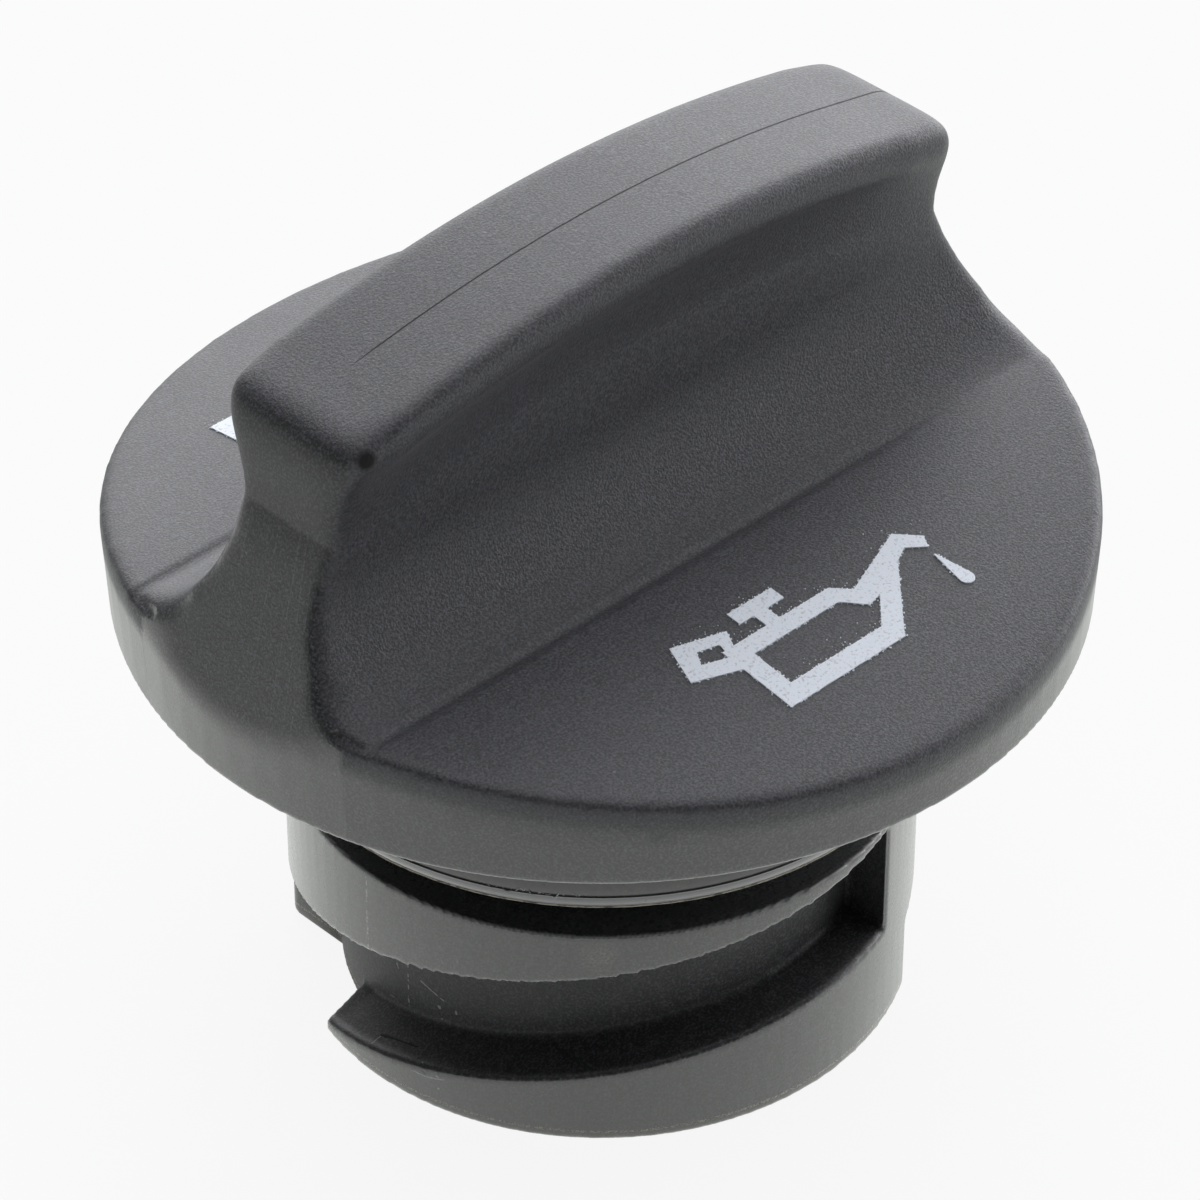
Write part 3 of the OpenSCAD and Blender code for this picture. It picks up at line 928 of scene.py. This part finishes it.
class FILLER_CAP_OT_seal(Operator):
    """Rubber ring with a rounded section, the fin of its own mould and a torn stretch of it"""

    bl_idname = "filler_cap.seal"
    bl_label = "Sealing ring"

    def section(self):
        """The ring's section as radius and height, from the inner lower corner round."""
        outer = SEAL_HIGH[0] - SEAL_FIN * MM
        low = SEAL_LOW[2]
        high = SEAL_HIGH[2]
        fin = low + SEAL_FIN_HEIGHT * MM
        below = SEAL_BELOW * MM
        above = SEAL_ABOVE * MM
        points = [(SEAL_INNER * MM, low), (outer - below, low)]
        for step in range(1, SECTION_STEPS):
            turn = math.radians(-90 + 90 * step / SECTION_STEPS)
            points.append((outer - below + below * math.cos(turn), fin + (fin - low) * math.sin(turn)))
        points += [(outer, fin - 0.06 * MM), (outer + SEAL_FIN * MM, fin),
                   (outer - 0.05 * MM, fin + 0.06 * MM)]
        for step in range(1, SECTION_STEPS):
            turn = math.radians(90 * step / SECTION_STEPS)
            points.append((outer - above + above * math.cos(turn), fin + (high - fin) * math.sin(turn)))
        return points + [(outer - above, high), (SEAL_INNER * MM, high)]

    def execute(self, context):
        deselect_all()
        bpy.ops.mesh.primitive_plane_add(size=1 * MM)
        piece = context.object
        piece.name = piece.data.name = "sealing_ring"
        mesh = bmesh.new()
        spots = [mesh.verts.new((radius, 0, height)) for radius, height in self.section()]
        for start, end in zip(spots, spots[1:] + spots[:1]):
            mesh.edges.new((start, end))
        mesh.to_mesh(piece.data)
        mesh.free()
        make_active(piece)
        bpy.ops.object.mode_set(mode="EDIT")
        bpy.ops.mesh.select_all(action="SELECT")
        bpy.ops.mesh.spin(steps=RING_STEPS, angle=2 * math.pi, center=(0, 0, 0), axis=(0, 0, 1))
        bpy.ops.mesh.select_all(action="SELECT")
        bpy.ops.mesh.remove_doubles(threshold=1e-6)
        bpy.ops.mesh.normals_make_consistent(inside=False)
        bpy.ops.object.mode_set(mode="OBJECT")
        bpy.ops.object.shade_smooth_by_angle(angle=math.radians(40))
        if len(piece.data.polygons) < 1000:
            raise RuntimeError("the ring wasn't spun")
        finish_piece(piece, the_material(sealing_rubber))
        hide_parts("seal_ring")
        noise = random.Random(5)
        outer = SEAL_HIGH[0] / MM
        fin = SEAL_LOW[2] / MM + SEAL_FIN_HEIGHT
        torn = ring_points(outer - 0.12, fin + 0.05, *TORN_ARC, TORN_STEPS, noise, 0.05, 0.22)
        thread("torn_fin", torn, 0.075, the_material(torn_rubber),
               taper=lambda part: 0.35 + 0.65 * math.sin(math.pi * part))
        edge = ring_points(outer - 0.43, fin - 1.07, 0, 360, CRUMB_STEPS, noise, 0.015, 0.012)
        thread("ring_edge", edge[:-1], 0.06, the_material(crumbly_film), cyclic=True)
        return {"FINISHED"}


class FILLER_CAP_OT_marks(Operator):
    """Printed oil can and arrow, their ragged edges and the mist of print beside them"""

    bl_idname = "filler_cap.marks"
    bl_label = "Printed marks"

    def outline(self, node_name):
        """Edges of the mark's upper face in mm, each with its outward direction."""
        mesh = bmesh.new()
        mesh.from_mesh(frame["nodes"][node_name].data)
        bmesh.ops.remove_doubles(mesh, verts=mesh.verts, dist=2e-6)
        mesh.normal_update()
        found = []
        for edge in mesh.edges:
            tops = [face for face in edge.link_faces if face.normal.z > 0.5]
            sides = [face for face in edge.link_faces if abs(face.normal.z) < 0.5]
            if len(tops) == 1 and sides:
                start, end = (vertex.co / MM for vertex in edge.verts)
                found.append((start, end, sides[0].normal.copy()))
        mesh.free()
        return found

    def fleck(self, mesh, x, y, radius, noise, size):
        """One ragged drop of print lying on the crown."""
        height = size.crown_height / MM - y * y / (2 * size.crown_radius / MM) + 0.05
        ring = []
        for step in range(7):
            turn = 2 * math.pi * (step + noise.uniform(-0.3, 0.3)) / 7
            r = radius * noise.uniform(0.6, 1.25)
            ring.append(mesh.verts.new(
                Vector((x + r * math.cos(turn), y + r * math.sin(turn), height)) * MM))
        mesh.faces.new(ring)

    def execute(self, context):
        size = sizes()
        material = the_material(white_print)
        noise = random.Random(11)
        mesh = bmesh.new()
        for name in ("oil_can_mark", "arrow_mark"):
            slots = frame["nodes"][name].material_slots
            if not slots:
                raise RuntimeError("the packed mark has no material slot")
            slots[0].material = material
            for start, end, outward in self.outline(name):
                length = (end - start).length
                for _ in range(int(length * size.edge_flecks)):
                    place = start.lerp(end, noise.random()) + outward * noise.gauss(0.02, 0.04)
                    self.fleck(mesh, place.x, place.y, noise.uniform(0.03, 0.08), noise, size)
                if outward.y < 0.35:
                    continue
                for _ in range(int(length * size.mist_flecks)):
                    place = start.lerp(end, noise.random()) + outward * noise.expovariate(2.8)
                    self.fleck(mesh, place.x, place.y, noise.uniform(0.02, 0.055), noise, size)
        deselect_all()
        bpy.ops.mesh.primitive_plane_add(size=1 * MM)
        piece = context.object
        piece.name = piece.data.name = "print_flecks"
        mesh.to_mesh(piece.data)
        mesh.free()
        apply_modifier(piece, "SOLIDIFY", thickness=0.06 * MM, offset=-1)
        finish_piece(piece, material)
        return {"FINISHED"}


class FILLER_CAP_OT_stage(Operator):
    """White floor, soft room light and the camera"""

    bl_idname = "filler_cap.stage"
    bl_label = "Stage"

    def camera(self, context, setting):
        back = Vector((math.sin(setting.azimuth) * math.cos(setting.elevation),
                       -math.cos(setting.azimuth) * math.cos(setting.elevation),
                       math.sin(setting.elevation)))
        right = Vector((math.cos(setting.azimuth), math.sin(setting.azimuth), 0))
        turn = Matrix((right, back.cross(right), back)).transposed().to_4x4()
        turn.translation = Vector((0, 0, setting.target_height)) + setting.distance * back
        deselect_all()
        bpy.ops.object.camera_add()
        camera = context.object
        camera.name = "photo_camera"
        camera.matrix_world = turn
        camera.data.lens = setting.lens
        camera.data.sensor_width = SENSOR
        camera.data.shift_x = setting.aim_right / FRAME_WIDTH
        camera.data.shift_y = setting.aim_up / FRAME_WIDTH
        camera.data.clip_start = 0.01
        context.scene.camera = camera

    def floor(self, context):
        deselect_all()
        bpy.ops.mesh.primitive_plane_add(size=6, location=(0, 0, -FLOOR_DROP * MM))
        floor = context.object
        floor.name = floor.data.name = "floor"
        material = bpy.data.materials.new("white_floor")
        material.use_nodes = True
        tree = material.node_tree
        shader = tree.nodes["Principled BSDF"]
        shader.inputs["Base Color"].default_value = (0.7, 0.7, 0.7, 1)
        shader.inputs["Roughness"].default_value = 0.9
        shader.inputs["Specular IOR Level"].default_value = 0.1
        seen = add(tree, "ShaderNodeEmission", {"Color": (1, 1, 1, 1), "Strength": 1.0})
        mirrored = add(tree, "ShaderNodeEmission", {"Color": (*FLOOR_GLOW, 1), "Strength": 1.0})
        path = add(tree, "ShaderNodeLightPath")
        direct = product(tree, path.outputs["Is Camera Ray"], 0.9)
        first = add(tree, "ShaderNodeMixShader", {0: direct, 1: shader.outputs[0], 2: seen.outputs[0]})
        bounced = math_node(tree, "MAXIMUM", path.outputs["Is Glossy Ray"],
                            path.outputs["Is Transmission Ray"])
        second = add(tree, "ShaderNodeMixShader", {0: bounced, 1: first.outputs[0],
                                                   2: mirrored.outputs[0]})
        tree.links.new(second.outputs[0], tree.nodes["Material Output"].inputs["Surface"])
        floor.data.materials.append(material)

    def room(self, context, setting):
        """Soft glows round the object; the camera itself sees plain white."""
        world = bpy.data.worlds.new("room")
        world.use_nodes = True
        context.scene.world = world
        tree = world.node_tree
        base = tree.nodes["Background"]
        where = add(tree, "ShaderNodeTexCoord")
        total = setting.fill
        for azimuth, elevation, strength in GLOWS:
            turn, rise = math.radians(azimuth), math.radians(elevation)
            aim = (math.cos(turn) * math.cos(rise), math.sin(turn) * math.cos(rise), math.sin(rise))
            facing = add(tree, "ShaderNodeVectorMath", {0: where.outputs["Generated"], 1: aim},
                         operation="DOT_PRODUCT")
            lit = math_node(tree, "POWER", math_node(tree, "MAXIMUM", facing.outputs["Value"], 0.0),
                            GLOW_SHARPNESS)
            total = math_node(tree, "ADD", product(tree, lit, strength), total)
        tree.links.new(product(tree, total, setting.room_level), base.inputs["Strength"])
        base.inputs["Color"].default_value = (*setting.room_tint, 1)
        white = add(tree, "ShaderNodeBackground", {"Color": (1, 1, 1, 1), "Strength": 1.0})
        path = add(tree, "ShaderNodeLightPath")
        mix = add(tree, "ShaderNodeMixShader", {0: path.outputs["Is Camera Ray"]})
        tree.links.new(base.outputs[0], mix.inputs[1])
        tree.links.new(white.outputs[0], mix.inputs[2])
        tree.links.new(mix.outputs[0], tree.nodes["World Output"].inputs["Surface"])

    def execute(self, context):
        setting = context.scene.stage_settings
        context.scene.view_settings.view_transform = "Standard"
        self.camera(context, setting)
        self.floor(context)
        self.room(context, setting)
        return {"FINISHED"}


class FILLER_CAP_PT_panel(Panel):
    """Lists the steps that build the cap's looks"""

    bl_idname = "FILLER_CAP_PT_panel"
    bl_label = "Oil filler cap"
    bl_space_type = "VIEW_3D"
    bl_region_type = "UI"
    bl_category = "Filler cap"

    def draw(self, context):
        layout = self.layout
        for step in STEPS:
            layout.operator(step.bl_idname)
        for group in (context.scene.cap_sizes, context.scene.cap_colours,
                      context.scene.stage_settings):
            box = layout.box()
            for name in type(group).__annotations__:
                box.prop(group, name)


STEPS = (FILLER_CAP_OT_body, FILLER_CAP_OT_seal, FILLER_CAP_OT_marks,
         FILLER_CAP_OT_stage)
CLASSES = (CapSizes, CapColours, StageSettings) + STEPS + (FILLER_CAP_PT_panel,)


def register():
    for cls in CLASSES:
        bpy.utils.register_class(cls)
    bpy.types.Scene.cap_sizes = PointerProperty(type=CapSizes)
    bpy.types.Scene.cap_colours = PointerProperty(type=CapColours)
    bpy.types.Scene.stage_settings = PointerProperty(type=StageSettings)


def unregister():
    del bpy.types.Scene.stage_settings
    del bpy.types.Scene.cap_colours
    del bpy.types.Scene.cap_sizes
    for cls in reversed(CLASSES):
        bpy.utils.unregister_class(cls)


def main():
    register()
    bpy.ops.filler_cap.body()
    bpy.ops.filler_cap.seal()
    bpy.ops.filler_cap.marks()
    bpy.ops.filler_cap.stage()
    bpy.context.view_layer.update()


if __name__ == "__main__":
    main()
